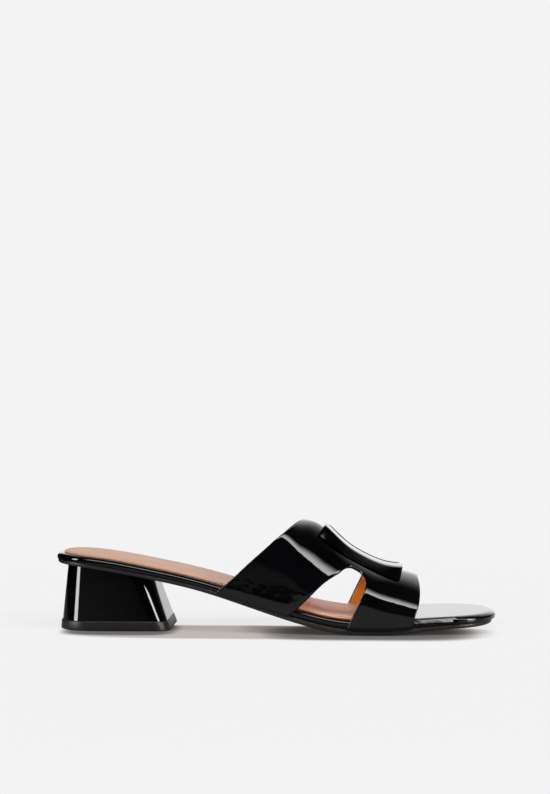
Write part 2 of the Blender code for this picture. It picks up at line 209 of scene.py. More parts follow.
def slab(name, rows, low, high, looks, stations, across, front=None):
    # closed sheet between two heights, its edge drawn by rows of inset and height
    front = front or shoe["length"]
    bm = bmesh.new()
    rings = []
    for inset, height in rows:
        sides = []
        for inner in (False, True):
            points = sidePoints(inner, inset, stations, front)
            sides.append([bm.verts.new((p.x, p.y, height(p.x))) for p in points])
        rings.append(sides)
    for lower, upper in zip(rings, rings[1:]):
        addStrip(bm, lower[0], upper[0])
        addStrip(bm, lower[1], upper[1])
    lowRows = addCap(bm, rings[0][0], rings[0][1], low, across)
    highRows = addCap(bm, rings[-1][0], rings[-1][1], high, across)
    if front < shoe["length"]:
        addStrip(bm, lowRows[-1][1:-1], highRows[-1][1:-1])
        bm.faces.new([lowRows[-1][1]] + [ring[0][-1] for ring in rings] + [highRows[-1][1]])
        bm.faces.new([lowRows[-1][-2]] + [ring[1][-1] for ring in rings] + [highRows[-1][-2]])
    return makePiece(name, bm, looks)


class Wire:
    # a shader socket that takes part in sums
    def __init__(self, tree, socket):
        self.tree = tree
        self.socket = socket

    def node(self, kind, inputs, output=0, **settings):
        made = self.tree.nodes.new(kind)
        for key, value in settings.items():
            setattr(made, key, value)
        for key, value in inputs.items():
            if isinstance(value, Wire):
                self.tree.links.new(value.socket, made.inputs[key])
            else:
                made.inputs[key].default_value = value
        return Wire(self.tree, made.outputs[output])

    def calc(self, operation, left, right):
        return self.node("ShaderNodeMath", {0: left, 1: right}, operation=operation)

    def __add__(self, other):
        return self.calc("ADD", self, other)

    def __radd__(self, other):
        return self.calc("ADD", other, self)

    def __sub__(self, other):
        return self.calc("SUBTRACT", self, other)

    def __rsub__(self, other):
        return self.calc("SUBTRACT", other, self)

    def __mul__(self, other):
        return self.calc("MULTIPLY", self, other)

    def __rmul__(self, other):
        return self.calc("MULTIPLY", other, self)

    def __truediv__(self, other):
        return self.calc("DIVIDE", self, other)

    def __rtruediv__(self, other):
        return self.calc("DIVIDE", other, self)

    def clip(self, low, high):
        limits = {0: self, 1: low, 2: high}
        return self.node("ShaderNodeMapRange", limits, interpolation_type="SMOOTHSTEP")

    def noise(self, scale, detail=2.0, roughness=0.5):
        return self.node("ShaderNodeTexNoise", {"Vector": self, "Scale": scale, "Detail": detail,
                                                "Roughness": roughness})

    def blend(self, first, second):
        return self.node("ShaderNodeMix", {0: self, 6: (*first, 1.0), 7: (*second, 1.0)}, output=2,
                         data_type="RGBA")

    def bump(self, distance, under=None):
        inputs = {"Height": self, "Distance": distance, "Strength": 1.0}
        if under:
            inputs["Normal"] = under
        return self.node("ShaderNodeBump", inputs)


def newLook(name, **fixed):
    look = bpy.data.materials.new(name)
    look.use_nodes = True
    tree = look.node_tree
    shader = tree.nodes["Principled BSDF"]
    for key, value in fixed.items():
        shader.inputs[key.replace("_", " ")].default_value = value
    start = tree.nodes.new("ShaderNodeTexCoord")
    return look, shader, Wire(tree, start.outputs["Object"])


def feed(shader, name, wire):
    wire.tree.links.new(wire.socket, shader.inputs[name])


def attribute(place, name):
    return place.node("ShaderNodeAttribute", {}, output=2, attribute_name=name)


patent = {
    "colour": (0.0010, 0.0010, 0.0014),
    "haze": (0.0024, 0.0022, 0.0030),
    "coat": 0.25,
    "coatRoughness": 0.03,
    "ior": 1.5,
    "smearScale": 38.0,
    "smearEdges": (0.35, 0.7),
    "clean": 0.03,  # roughness of clean patent, and what smears and pleats add to it
    "smeared": 0.035,
    "gathered": 0.16,
    "wave": 0.00018,  # heights of the soft waves, the ripples, the toe's pleats and the fine peel
    "ripple": 0.00006,
    "pleat": 0.0003,
    "peel": 0.0000012,
    "waveScale": 26.0,
    "rippleScale": 210.0,
    "peelScale": 1500.0,
}


def patentLook(name, wave=1.0, pleats=False):
    look, shader, place = newLook(name, Coat_Weight=patent["coat"], Coat_IOR=patent["ior"],
                                  Coat_Roughness=patent["coatRoughness"], IOR=patent["ior"])
    smear = place.noise(patent["smearScale"], 3.0)
    haze = smear.clip(*patent["smearEdges"])
    feed(shader, "Base Color", haze.blend(patent["colour"], patent["haze"]))
    gloss = patent["clean"] + patent["smeared"] * smear
    normal = place.noise(patent["waveScale"], 1.0).bump(patent["wave"] * wave)
    normal = place.noise(patent["rippleScale"], 1.0).bump(patent["ripple"] * wave, normal)
    if pleats:
        gathered = attribute(place, "pleat")
        gloss = gloss + patent["gathered"] * gathered
        folds = place.noise(patent["rippleScale"], 2.0) * gathered
        normal = folds.bump(patent["pleat"], normal)
    feed(shader, "Roughness", gloss)
    feed(shader, "Normal", place.noise(patent["peelScale"], 1.0).bump(patent["peel"], normal))
    return look


sockTone = {
    "light": (0.63, 0.355, 0.235),
    "dark": (0.52, 0.262, 0.158),
    # painted fill light: lighter tones for the sock's front under the straps, where the straps shade it
    "paintedFillLight": (0.92, 0.54, 0.37),
    "paintedFillDark": (0.80, 0.43, 0.275),
    "lining": (0.86, 0.30, 0.05),
    "liningDark": (0.70, 0.21, 0.028),
}
leather = {
    "ior": 1.46,
    "mottleScale": 55.0,
    "mottleEdges": (0.3, 0.72),
    "streakScale": 420.0,
    "streakEdges": (0.3, 0.7),
    "streakDraw": (0.05, 1.0, 0.2),  # drawn out along the foot
    "poreScale": 900.0,
    "poreEdge": 0.12,
    "shares": (0.4, 0.45, 0.15),  # parts that mottle, streaks and pores have in the tone
    "dull": 0.12,
    "pore": 0.00004,
    "crease": 0.00012,
    "creaseScale": 120.0,
}


def leatherLook(name, light, dark, roughness, shine, fore=None):
    look, shader, place = newLook(name, IOR=leather["ior"], Specular_IOR_Level=shine)
    mottle = place.noise(leather["mottleScale"], 4.0, 0.6)
    drawn = place.node("ShaderNodeMapping", {"Vector": place, "Scale": leather["streakDraw"]})
    streak = drawn.noise(leather["streakScale"], 3.0, 0.6)
    cells = {"Vector": place, "Scale": leather["poreScale"]}
    pore = place.node("ShaderNodeTexVoronoi", cells, feature="DISTANCE_TO_EDGE")
    grain = pore.clip(0.0, leather["poreEdge"])
    mottled, streaked, pored = leather["shares"]
    tone = mottle.clip(*leather["mottleEdges"]) * mottled
    tone = tone + streak.clip(*leather["streakEdges"]) * streaked + (1.0 - grain) * pored
    colour = tone.blend(light, dark)
    # painted fill light: the colour turns to the lighter tones along the "fore" attribute
    if fore:
        ahead = {0: attribute(place, "fore"), 6: colour, 7: tone.blend(*fore)}
        colour = place.node("ShaderNodeMix", ahead, output=2, data_type="RGBA")
    feed(shader, "Base Color", colour)
    feed(shader, "Roughness", roughness + leather["dull"] * mottle)
    crease = place.noise(leather["creaseScale"], 2.0).bump(leather["crease"])
    feed(shader, "Normal", grain.bump(leather["pore"], crease))
    return look


rubberTone = {
    "sole": (0.017, 0.0165, 0.0175),
    "soleWorn": (0.028, 0.027, 0.028),
    "lift": (0.009, 0.009, 0.0105),
    "liftWorn": (0.015, 0.015, 0.0165),
}
rubber = {
    "ior": 1.5,
    "cloudScale": 70.0,
    "speckScale": 2600.0,
    "grainScale": 420.0,
    "speckShare": 0.3,
    "speckRelief": 0.4,
    "wornEdges": (0.38, 0.66),
    "smooth": 0.3,
    "dull": 0.22,
    "grain": 0.00005,
    "ribScale": 95.0,
    "rib": 0.0004,
}


def rubberLook(name, dark, worn, ribs=False):
    look, shader, place = newLook(name, IOR=rubber["ior"])
    cloud = place.noise(rubber["cloudScale"], 4.0, 0.65)
    speck = place.noise(rubber["speckScale"], 1.0)
    specks = rubber["speckShare"]
    wear = (cloud * (1.0 - specks) + speck * specks).clip(*rubber["wornEdges"])
    feed(shader, "Base Color", wear.blend(dark, worn))
    feed(shader, "Roughness", rubber["smooth"] + rubber["dull"] * cloud)
    relief = speck * rubber["speckRelief"] + place.noise(rubber["grainScale"], 2.0)
    normal = relief.bump(rubber["grain"])
    if ribs:
        lines = {"Vector": place, "Scale": rubber["ribScale"], "Distortion": 0.0}
        wave = place.node("ShaderNodeTexWave", lines, output=1, bands_direction="X", wave_profile="SIN")
        normal = (wave * attribute(place, "under")).bump(rubber["rib"], normal)
    feed(shader, "Normal", normal)
    return look


upperPatent = patentLook("upperPatent")
barPatent = patentLook("barPatent", wave=0.6)
heelPatent = patentLook("heelPatent", wave=0.5)
edgePatent = patentLook("edgePatent", wave=0.7, pleats=True)
sockLeather = leatherLook("sockLeather", sockTone["light"], sockTone["dark"], roughness=0.36, shine=0.3,
                          fore=(sockTone["paintedFillLight"], sockTone["paintedFillDark"]))
liningLeather = leatherLook("liningLeather", sockTone["lining"], sockTone["liningDark"],
                            roughness=0.5, shine=0.2)
soleRubber = rubberLook("soleRubber", rubberTone["sole"], rubberTone["soleWorn"], ribs=True)
liftRubber = rubberLook("liftRubber", rubberTone["lift"], rubberTone["liftWorn"])
print("looks made")


def alongShoe(v):
    return v.co.x * 1000.0 - shoeShift.x


def pointValues(piece, name, value):
    layer = piece.data.attributes.new(name, "FLOAT", "POINT")
    for i, v in enumerate(piece.data.vertices):
        layer.data[i].value = value(v)


outsole = {"stations": 150, "across": 14, "edge": 1.0, "edgeSteps": 5, "land": 0.6,
           "topInset": 0.25, "topDrop": 0.35, "underSlope": -0.6}


def buildOutsole():
    rows = [(lambda x: -ledge(x) + outsole["edge"] + outsole["land"], tread)]
    for k in range(outsole["edgeSteps"] + 1):
        turn = 0.5 * math.pi * k / outsole["edgeSteps"]
        draw = outsole["edge"] * (1.0 - math.sin(turn))
        lift = outsole["edge"] * (1.0 - math.cos(turn))
        rows.append((lambda x, d=draw: -ledge(x) + d, lambda x, d=lift: tread(x) + d))
    rows.append((lambda x: -ledge(x), lambda x: outsoleTop(x) - outsole["topDrop"]))
    rows.append((lambda x: -ledge(x) + outsole["topInset"], outsoleTop))
    piece = slab("outsoleSheet", rows, tread, outsoleTop, [soleRubber],
                 outsole["stations"], outsole["across"])
    pointValues(piece, "under", lambda v: 1.0 if v.normal.z < outsole["underSlope"] else 0.0)
    return piece


insole = {
    "stations": 230,
    "across": 16,
    "edge": 2.4,
    "edgeWide": 4.8,
    "edgeSteps": 14,
    "footRows": ((0.9, 0.0), (0.35, 0.12)),  # inset and rise of the lower edge
    "sideRise": 0.6,
    "sideDrops": (3.4, 3.0, 2.7),
    "flat": 0.8,
    "bevelDepth": 3.0,
    "bevelSlope": 0.7,
    "bevelRound": 0.6,
    "bevelTop": 1.4,
    "bevelFrom": (196.0, 203.0),
    "bevelTo": (227.0, 228.6),
    "pleat": 0.05,
    "pleatPitch": 1.9,
    "pleatBeat": 0.31,
    "pleatDrop": (0.3, 1.5),  # depths below the bed where the folds and their look set in
    "pleatLook": (0.4, 1.9),
}


def ramp(value, low, high):
    share = min(max((value - low) / (high - low), 0.0), 1.0)
    return share * share * (3.0 - 2.0 * share)


def boardInset(x, drop):
    # how far the board's side stands back at a depth below the bed: rounded, bevelled beside the
    # toe strap, and gathered in small pleats round the toe
    high = max(1.0 - drop / insole["edge"], 0.0)
    soft = insole["edgeWide"] * (1.0 - math.sqrt(1.0 - high * high))
    high = max(1.0 - drop / insole["bevelRound"], 0.0)
    depth = min(max(drop, insole["bevelRound"]), insole["bevelDepth"])
    cut = insole["bevelSlope"] * (insole["bevelDepth"] - depth)
    cut += insole["bevelTop"] * (1.0 - math.sqrt(1.0 - high * high))
    toe = ramp(x, *insole["bevelTo"])
    bevel = ramp(x, *insole["bevelFrom"]) * (1.0 - toe)
    pitch = insole["pleatPitch"]
    fold = math.sin(x * pitch) * math.sin(insole["pleatBeat"] * x * pitch + 1.0)
    return soft + (cut - soft) * bevel + insole["pleat"] * fold * toe * ramp(drop, *insole["pleatDrop"])


def buildInsole():
    drops = list(insole["sideDrops"])
    for k in range(insole["edgeSteps"] + 1):
        drops.append(insole["edge"] * (1.0 - math.sin(0.5 * math.pi * k / insole["edgeSteps"])))
    rows = [(inset, lambda x, r=rise: insoleBottom(x) + r) for inset, rise in insole["footRows"]]
    rows.append((lambda x: boardInset(x, insole["bevelDepth"]),
                 lambda x: insoleBottom(x) + insole["sideRise"]))
    rows += [(lambda x, d=drop: boardInset(x, d), lambda x, d=drop: bed(x) - d) for drop in drops]
    rows.append((insole["edgeWide"] + insole["flat"], bed))
    piece = slab("insoleWrap", rows, insoleBottom, bed, [edgePatent],
                 insole["stations"], insole["across"])

    def pleat(v):
        x = alongShoe(v)
        return ramp(x, *insole["bevelTo"]) * ramp(bed(x) - v.co.z * 1000.0, *insole["pleatLook"])

    pointValues(piece, "pleat", pleat)
    return piece


sock = {
    "stations": 150,
    "across": 16,
    "front": 193.0,
    "inset": 4.1,
    "seat": 0.04,
    "thick": 1.0,
    "edgeRows": ((0.0, 0.5), (0.12, 0.2), (0.45, 0.04), (0.9, 0.0)),  # inset and drop
    "groove": 2.2,
    "grooveRows": ((0.7, 0.0), (0.45, 0.05), (0.18, 0.4)),  # the pressed line, half of it
    "flat": 2.0,
    # where the painted fill light on the sock's front sets in and is full
    "fore": (112.0, 138.0),
}


def buildSock():
    top = sock["thick"]
    line = sock["inset"] + sock["groove"]
    profile = [(sock["inset"], sock["seat"])]
    profile += [(sock["inset"] + inset, top - drop) for inset, drop in sock["edgeRows"]]
    profile += [(line - aside, top - drop) for aside, drop in sock["grooveRows"]]
    profile += [(line + aside, top - drop) for aside, drop in reversed(sock["grooveRows"])]
    profile.append((line + sock["flat"], top))
    rows = [(inset, lambda x, h=height: bed(x) + h) for inset, height in profile]
    piece = slab("sockLining", rows, lambda x: bed(x) + sock["seat"], lambda x: bed(x) + top,
                 [sockLeather], sock["stations"], sock["across"], sock["front"])
    # painted fill light: ramp that lightens the sock's colour towards the front
    pointValues(piece, "fore", lambda v: ramp(alongShoe(v), *sock["fore"]))
    return piece


def roundedSide(back, front, half, backRadius, frontRadius, arcSteps, sideParts):
    # outer half of a rounded rectangle, from the middle of its back to the middle of its front
    points = [Vector((back, 0.0)), Vector((back, -0.5 * (half - backRadius)))]
    centre = Vector((back + backRadius, -half + backRadius))
    for k in range(arcSteps + 1):
        turn = 0.5 * math.pi * k / arcSteps
        points.append(centre + backRadius * Vector((-math.cos(turn), -math.sin(turn))))
    first = back + backRadius
    last = front - frontRadius
    points += [Vector((first + (last - first) * part, -half)) for part in sideParts]
    centre = Vector((last, -half + frontRadius))
    for k in range(arcSteps + 1):
        turn = 0.5 * math.pi * k / arcSteps
        points.append(centre + frontRadius * Vector((math.sin(turn), -math.cos(turn))))
    points += [Vector((front, -0.5 * (half - frontRadius))), Vector((front, 0.0))]
    return points


def loft(name, levels, low, high, looks, across):
    bm = bmesh.new()
    rings = []
    for points, height in levels:
        outer = [bm.verts.new((p.x, p.y, height(p.x))) for p in points]
        inner = [bm.verts.new((p.x, -p.y, height(p.x))) for p in points]
        rings.append((outer, inner))
    for lower, upper in zip(rings, rings[1:]):
        addStrip(bm, lower[0], upper[0])
        addStrip(bm, lower[1], upper[1])
    addCap(bm, rings[0][0], rings[0][1], low, across)
    addCap(bm, rings[-1][0], rings[-1][1], high, across)
    return makePiece(name, bm, looks)


heel = {"backTop": 7.4, "backBottom": 4.1, "breastTop": 56.8, "breastBottom": 64.8, "halfTop": 24.0,
        "halfBottom": 26.4, "backRadiusTop": 14.5, "backRadiusBottom": 17.5, "frontRadiusTop": 12.0,
        "frontRadiusBottom": 9.0, "clear": 0.1, "levels": 28, "arcSteps": 18, "across": 8,
        "sideParts": (0.02, 0.1, 0.25, 0.4, 0.55, 0.7, 0.85, 0.94, 0.98)}
lift = {"height": 5.3, "step": 0.5, "flare": 0.3, "toe": 1.2, "round": 0.5, "roundSteps": 4}


def heelSizes(share):
    # the heel's section at a share of its height
    names = ("back", "breast", "half", "backRadius", "frontRadius")
    ends = [(heel[name + "Bottom"], heel[name + "Top"]) for name in names]
    return [low + (high - low) * share for low, high in ends]


def heelSide(back, front, half, backRadius, frontRadius, grow=0.0, ahead=0.0):
    return roundedSide(back - grow, front + grow + ahead, half + grow, backRadius, frontRadius,
                       heel["arcSteps"], heel["sideParts"])


def buildHeel():
    base = lift["height"] + heel["clear"]
    levels = []

    def top(x):
        return tread(x) - heel["clear"]

    for k in range(heel["levels"] + 1):
        share = k / heel["levels"]
        levels.append((heelSide(*heelSizes(share)), lambda x, s=share: base + s * (top(x) - base)))
    return loft("heelBlock", levels, lambda x: base, top, [heelPatent], heel["across"])


def buildLift():
    sizes = heelSizes(0.0)
    turns = [0.5 * math.pi * k / lift["roundSteps"] for k in range(lift["roundSteps"] + 1)]
    levels = []
    for turn in turns:
        draw = lift["round"] * (1.0 - math.sin(turn))
        rise = lift["round"] * (1.0 - math.cos(turn))
        grow = lift["step"] + lift["flare"] - draw
        levels.append((heelSide(*sizes, grow=grow, ahead=lift["toe"]), lambda x, r=rise: r))
    for turn in turns:
        draw = lift["round"] * (1.0 - math.cos(turn))
        drop = lift["round"] * (1.0 - math.sin(turn))
        levels.append((heelSide(*sizes, grow=lift["step"] - draw), lambda x, d=drop: lift["height"] - d))
    return loft("heelLift", levels, lambda x: 0.0, lambda x: lift["height"], [liftRubber],
                heel["across"])


ridgeLine = {
    "x": (90.0, 122.0, 132.0, 141.0, 149.0, 156.0, 165.0, 175.0, 186.0, 197.0, 205.0, 214.0),
    "ridge": (71.5, 65.3, 63.2, 61.6, 59.5, 54.3, 46.3, 40.1, 35.4, 32.7, 30.5, 26.5),
    "sideFull": (0.50, 0.50, 0.50, 0.50, 0.50, 0.50, 0.50, 0.50, 0.52, 0.54, 0.56, 0.56),
    "upright": (0.095, 0.095, 0.14, 0.18, 0.208, 0.21, 0.225, 0.26, 0.19, 0.10, 0.04, 0.02),
    "power": (3.9, 3.9, 3.3, 2.21, 1.73, 1.69, 1.91, 2.0, 1.94, 1.84, 1.76, 1.74),
    "lean": (0.066, 0.066, 0.058, 0.033, 0.01, 0.0, 0.0, 0.0, 0.0, 0.0, 0.0, 0.0),
}
# Cut lines of the H, where each crosses a lane: -1 the tucked end, 0 the insole's top, 1 the ridge.
cutLine = {
    "lane": (-1.0, 0.0, 0.12, 0.25, 0.38, 0.47),
    "collar": (93.8, 97.9, 104.7, 111.7, 118.8, 123.3),
    "gapBack": (134.0, 138.4, 145.4, 152.2, 158.5, 162.4),
    "gapFront": (167.3, 169.4, 172.2, 175.0, 177.3, 178.0),
    "mouth": (203.2, 203.8, 205.2, 206.5, 207.1, 207.3),
}
archLine = {
    "lane": (0.47, 0.587, 0.70, 0.80, 0.90, 1.0, 1.1, 1.2, 1.3, 1.413, 1.53),
    "collar": (123.3, 128.5, 133.4, 137.1, 139.8, 140.7, 139.8, 137.1, 133.4, 128.5, 123.3),
    "mouth": (207.3, 207.2, 206.9, 206.5, 206.2, 206.0, 206.2, 206.5, 206.9, 207.2, 207.3),
}
upper = {
    "wall": 1.8,
    "ridgeY": 1.0,
    "apexLane": 0.652,  # top of the side gap
    "apexX": 171.0,
    "gapCorner": 2.6,
    "gapSlant": 0.6,
    "innerCollar": 3.4,  # how the cut lines of the inner side differ
    "innerGapFront": -3.3,
    "innerMouth": -3.0,
    "tuckSteps": 3,
    "legSteps": 20,
    "apexSteps": 16,
    "topSteps": 22,
    "backSteps": 38,
    "frontSteps": 32,
    "rimSteps": 6,
    "rimOut": 0.55,
    "crease": 60.0,
}
ridge = spline(ridgeLine["x"], ridgeLine["ridge"])
sideFull = spline(ridgeLine["x"], ridgeLine["sideFull"])
upright = spline(ridgeLine["x"], ridgeLine["upright"])
power = spline(ridgeLine["x"], ridgeLine["power"])
lean = spline(ridgeLine["x"], ridgeLine["lean"])


def upperBase(x, inner):
    return edgeY(x, inner) + (shoe["gap"] + upper["wall"]) * (1.0 if inner else -1.0)


def upperPoint(x, lane, inner):
    # outer face of the upper on the section that crosses the foot at x
    base = upperBase(x, inner)
    if lane <= 0.0:
        return Vector((x, base, bed(x) + lane * (bed(x) - insoleBottom(x))))
    q = 1.0 - lane
    rise = 3.0 * q * q * lane * sideFull(x) + 3.0 * q * lane * lane + lane ** 3
    over = max(rise - upright(x), 0.0) / (1.0 - upright(x))
    share = max(1.0 - over ** power(x), 0.0) ** (1.0 / power(x)) * (1.0 - lean(x) * rise)
    y = upper["ridgeY"] + (base - upper["ridgeY"]) * share
    return Vector((x, y, bed(x) + (ridge(x) - bed(x)) * rise))


def upperDrop(x, y):
    # how far the upper's face lies under its ridge, y to the side of it
    reach = upperBase(x, y > 0.0) - upper["ridgeY"]
    over = (1.0 - (y / reach) ** power(x)) ** (1.0 / power(x))
    return (ridge(x) - bed(x)) * (1.0 - upright(x)) * (1.0 - over)


def upperLanes():
    shoulder = cutLine["lane"][-1]
    apex = upper["apexLane"]
    lanes = [-1.0 + k / upper["tuckSteps"] for k in range(upper["tuckSteps"])]
    lanes += [shoulder * k / upper["legSteps"] for k in range(upper["legSteps"])]
    lanes += [shoulder + (apex - shoulder) * math.sin(0.5 * math.pi * k / upper["apexSteps"])
              for k in range(upper["apexSteps"])]
    lanes += [apex + (1.0 - apex) * k / upper["topSteps"] for k in range(upper["topSteps"] + 1)]
    return lanes


def cutter(inner):
    names = ("collar", "gapBack", "gapFront", "mouth")
    curves = [spline(cutLine["lane"][1:], cutLine[name][1:]) for name in names]
    collarTop = spline(archLine["lane"], archLine["collar"])
    mouthTop = spline(archLine["lane"], archLine["mouth"])
    shoulder = cutLine["lane"][-1]
    apex = upper["apexLane"]

    def at(lane):
        fade = 1.0 - max(lane, 0.0) ** 2 if inner else 0.0
        gapShift = upper["innerGapFront"] if inner else 0.0
        shift = (upper["innerCollar"] * fade, 0.0, gapShift, upper["innerMouth"] * fade)
        if lane <= 0.0:
            ends = [(cutLine[name][0], cutLine[name][1]) for name in names]
            return [tuck * -lane + foot * (1.0 + lane) + s for (tuck, foot), s in zip(ends, shift)]
        if lane <= shoulder:
            return [curve(lane) + s for curve, s in zip(curves, shift)]
        collar = collarTop(lane) + shift[0]
        mouth = mouthTop(lane) + shift[3]
        if lane >= apex:
            return [collar, upper["apexX"], upper["apexX"], mouth]
        climb = (lane - shoulder) / (apex - shoulder)
        arc = 1.0 - max(1.0 - climb ** upper["gapCorner"], 0.0) ** (1.0 / upper["gapCorner"])
        back = cutLine["gapBack"][-1]
        front = cutLine["gapFront"][-1] + shift[2]
        slant = upper["gapSlant"]
        back += (upper["apexX"] - back) * (slant * climb + (1.0 - slant) * arc)
        front += (upper["apexX"] - front) * arc
        return [collar, back, front, mouth]

    return at


def thicken(bm, wall, steps, bulge):
    # give an open sheet an inner face and a rounded rim
    bm.normal_update()
    inside = {v: bm.verts.new(v.co - v.normal * wall) for v in list(bm.verts)}
    rims = [e for e in bm.edges if len(e.link_faces) == 1]
    beside = {}
    for e in rims:
        a, b = e.verts
        beside.setdefault(a, []).append(b)
        beside.setdefault(b, []).append(a)
    rows = {}
    for v, pair in beside.items():
        along = pair[-1].co - pair[0].co
        away = along.cross(v.normal).normalized()
        middle = sum((f.calc_center_median() for f in v.link_faces), Vector()) / len(v.link_faces)
        if away.dot(v.co - middle) < 0.0:
            away.negate()
        row = [v]
        for k in range(1, steps):
            turn = math.pi * k / steps
            spot = v.co.lerp(inside[v].co, 0.5 * (1.0 - math.cos(turn)))
            row.append(bm.verts.new(spot + away * bulge * math.sin(turn)))
        rows[v] = row + [inside[v]]
    for f in list(bm.faces):
        back = bm.faces.new([inside[v] for v in reversed(f.verts)])
        back.material_index = 1
    for e in rims:
        a, b = e.verts
        addStrip(bm, rows[a], rows[b])


def buildUpper():
    bm = bmesh.new()
    for inner in (False, True):
        at = cutter(inner)
        strips = ([], [])
        for lane in upperLanes():
            collar, gapBack, gapFront, mouth = at(lane)
            spans = ((collar, gapBack, upper["backSteps"]), (gapFront, mouth, upper["frontSteps"]))
            for rows, (start, end, steps) in zip(strips, spans):
                xs = [start + (end - start) * k / steps for k in range(steps + 1)]
                rows.append([bm.verts.new(upperPoint(x, lane, inner)) for x in xs])
        for rows in strips:
            for first, second in zip(rows, rows[1:]):
                addStrip(bm, first, second)
    bmesh.ops.remove_doubles(bm, verts=bm.verts, dist=cleaning["merge"])
    bmesh.ops.recalc_face_normals(bm, faces=bm.faces)
    if max(bm.faces, key=lambda f: f.calc_center_median().z).normal.z < 0.0:
        bmesh.ops.reverse_faces(bm, faces=bm.faces)
    thicken(bm, upper["wall"], upper["rimSteps"], upper["rimOut"])
    return makePiece("upperStraps", bm, [upperPatent, liningLeather], upper["crease"])


bar = {
    "half": 13.0,
    "crown": 0.35,
    "corner": 2.2,
    "under": 0.5,  # above the ridge
    "hem": 0.5,  # lower edge: inset and share of the side's height
    "hemShare": 0.07,
    "edge": 0.9,  # rounded upper edge, the same
    "edgeShare": 0.17,
    "edgeSteps": 8,
    "rim": 0.3,
    "dish": 0.35,
    "dishRows": ((0.0, 0.0), (0.15, 0.05), (0.55, 0.9), (0.75, 1.0)),  # inset and share of the dish
    "slopeStep": 0.5,
    "arcSteps": 8,
    "sideSteps": 60,
    "across": 20,
    "crease": 50.0,
}
barLine = {
    "x": (152.5, 155.0, 160.0, 168.0, 182.0, 189.0, 194.0, 197.2),
    "top": (2.7, 2.6, 2.4, 2.3, 2.3, 2.5, 3.0, 3.5),
    "foot": (19.0, 19.4, 20.0, 20.6, 22.4, 23.8, 24.9, 25.5),
}
barTop = spline(barLine["x"], barLine["top"])
barFoot = spline(barLine["x"], barLine["foot"])


def barProfile():
    # inset, share of the side's height and sink, from the underside up and over the rim
    rows = [(bar["hem"], 0.0, 0.0), (0.0, bar["hemShare"], 0.0)]
    for k in range(bar["edgeSteps"] + 1):
        turn = 0.5 * math.pi * k / bar["edgeSteps"]
        inset = bar["edge"] * (1.0 - math.cos(turn))
        rows.append((inset, 1.0 - bar["edgeShare"] * (1.0 - math.sin(turn)), 0.0))
    rim = bar["edge"] + bar["rim"]
    rows += [(rim + inset, 1.0, bar["dish"] * sink) for inset, sink in bar["dishRows"]]
    return rows


def buildBar():
    # a flat plate along the ridge, its sides turned down on to the upper
    first = barLine["x"][0]
    last = barLine["x"][-1]
    parts = [k / bar["sideSteps"] for k in range(1, bar["sideSteps"])]

    def seat(x, y, share, sink):
        x = min(max(x, first), last)
        step = bar["slopeStep"]
        slope = (ridge(x + step) - ridge(x - step)) / (2.0 * step)
        up = Vector((-slope, 0.0, 1.0)).normalized()
        high = barTop(x) - bar["crown"] * (y / bar["half"]) ** 2 - sink
        y *= 1.0 + (barFoot(x) / bar["half"] - 1.0) * (1.0 - share)
        low = bar["under"] - upperDrop(x, y) * up.z
        return Vector((x, y + upper["ridgeY"], ridge(x))) + up * (low + (high - low) * share)

    bm = bmesh.new()
    rings = []
    for inset, share, sink in barProfile():
        points = roundedSide(first + inset, last - inset, bar["half"] - inset, bar["corner"],
                             bar["corner"], bar["arcSteps"], parts)
        sides = []
        for side in (1.0, -1.0):
            sides.append([bm.verts.new(seat(p.x, side * p.y, share, sink)) for p in points])
        rings.append((sides, points, share, sink))
    for (lower, *_), (higher, *_) in zip(rings, rings[1:]):
        addStrip(bm, lower[0], higher[0])
        addStrip(bm, lower[1], higher[1])
    for sides, points, share, sink in (rings[0], rings[-1]):
        rows = []
        for point, a, b in zip(points, *sides):
            ys = [point.y * (1.0 - 2.0 * k / bar["across"]) for k in range(1, bar["across"])]
            rows.append([a] + [bm.verts.new(seat(point.x, y, share, sink)) for y in ys] + [b])
        for one, two in zip(rows, rows[1:]):
            addStrip(bm, one, two)
    return makePiece("saddleBar", bm, [barPatent], bar["crease"])


pieces = (
    (buildOutsole(), "outsole", "sole_rubber"),
    (buildInsole(), "insole", "edge_patent"),
    (buildSock(), "sock", "sock_leather"),
    (buildHeel(), "heel", "heel_patent"),
    (buildLift(), "heel_top_piece", "lift_rubber"),
    (buildUpper(), "upper", "upper_patent"),
    (buildBar(), "saddle_bar", "bar_patent"),
)
for piece, node, slot in pieces:
    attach(piece, "root")
    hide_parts(node)
    print("piece", piece.name, len(piece.data.polygons), "faces")

scene = bpy.context.scene
scene.view_settings.view_transform = "Standard"
scene.view_settings.look = "None"

studio = {
    "paper": 0.905,  # what the camera sees behind the shoe
    "paperBounce": 0.27,  # share of it that the gloss sees in front of the shoe
    "bounceDepth": (-0.02, 0.12),
    "bounceLeft": (-0.20, -0.13),
    "floorRadius": 6.0,
    "floorSegments": 96,
    "floorDrop": 0.0001,
    "floorAlbedo": (0.86, 0.86, 0.86, 1.0),
    "floorRoughness": 0.9,
    "floorShine": 0.1,
    "floorGlow": 0.87,  # share of the floor that shines by itself and thins the wide shadow
    "glossGlow": 0.8,  # the least of it that the gloss sees
    "touchShade": (0.50, 0.50, 0.50),  # painted contact shade, darker where the sole and the lift touch the floor
    "touchReach": 0.018,
    "touchLean": (0.0, 0.6, 0.8),  # towards the back, so that the touch shows in front
    "touchEdges": (0.35, 0.90),
    "touchSamples": 8,
    "fade": (0.30, 0.75),  # distances over which the floor turns into glow alone
    "backLow": 1.22,  # white sweep behind the shoe, at the floor and at its top
    "backHigh": 0.85,
    "backRise": (0.1, 0.6),
    "backFront": (-0.1, 0.2),
    "backTop": (0.48, 0.82),
    "backLeft": (-0.31, -0.20),
    "backRight": (0.12, 0.62),
    "roomGlow": 0.09,
    "roomTop": 0.006,
    "roomRise": (0.02, 0.12),
    "roomFront": (0.3, 0.8),
    "panelFacing": (0.1, 0.2),
    "panelNear": 0.05,
}
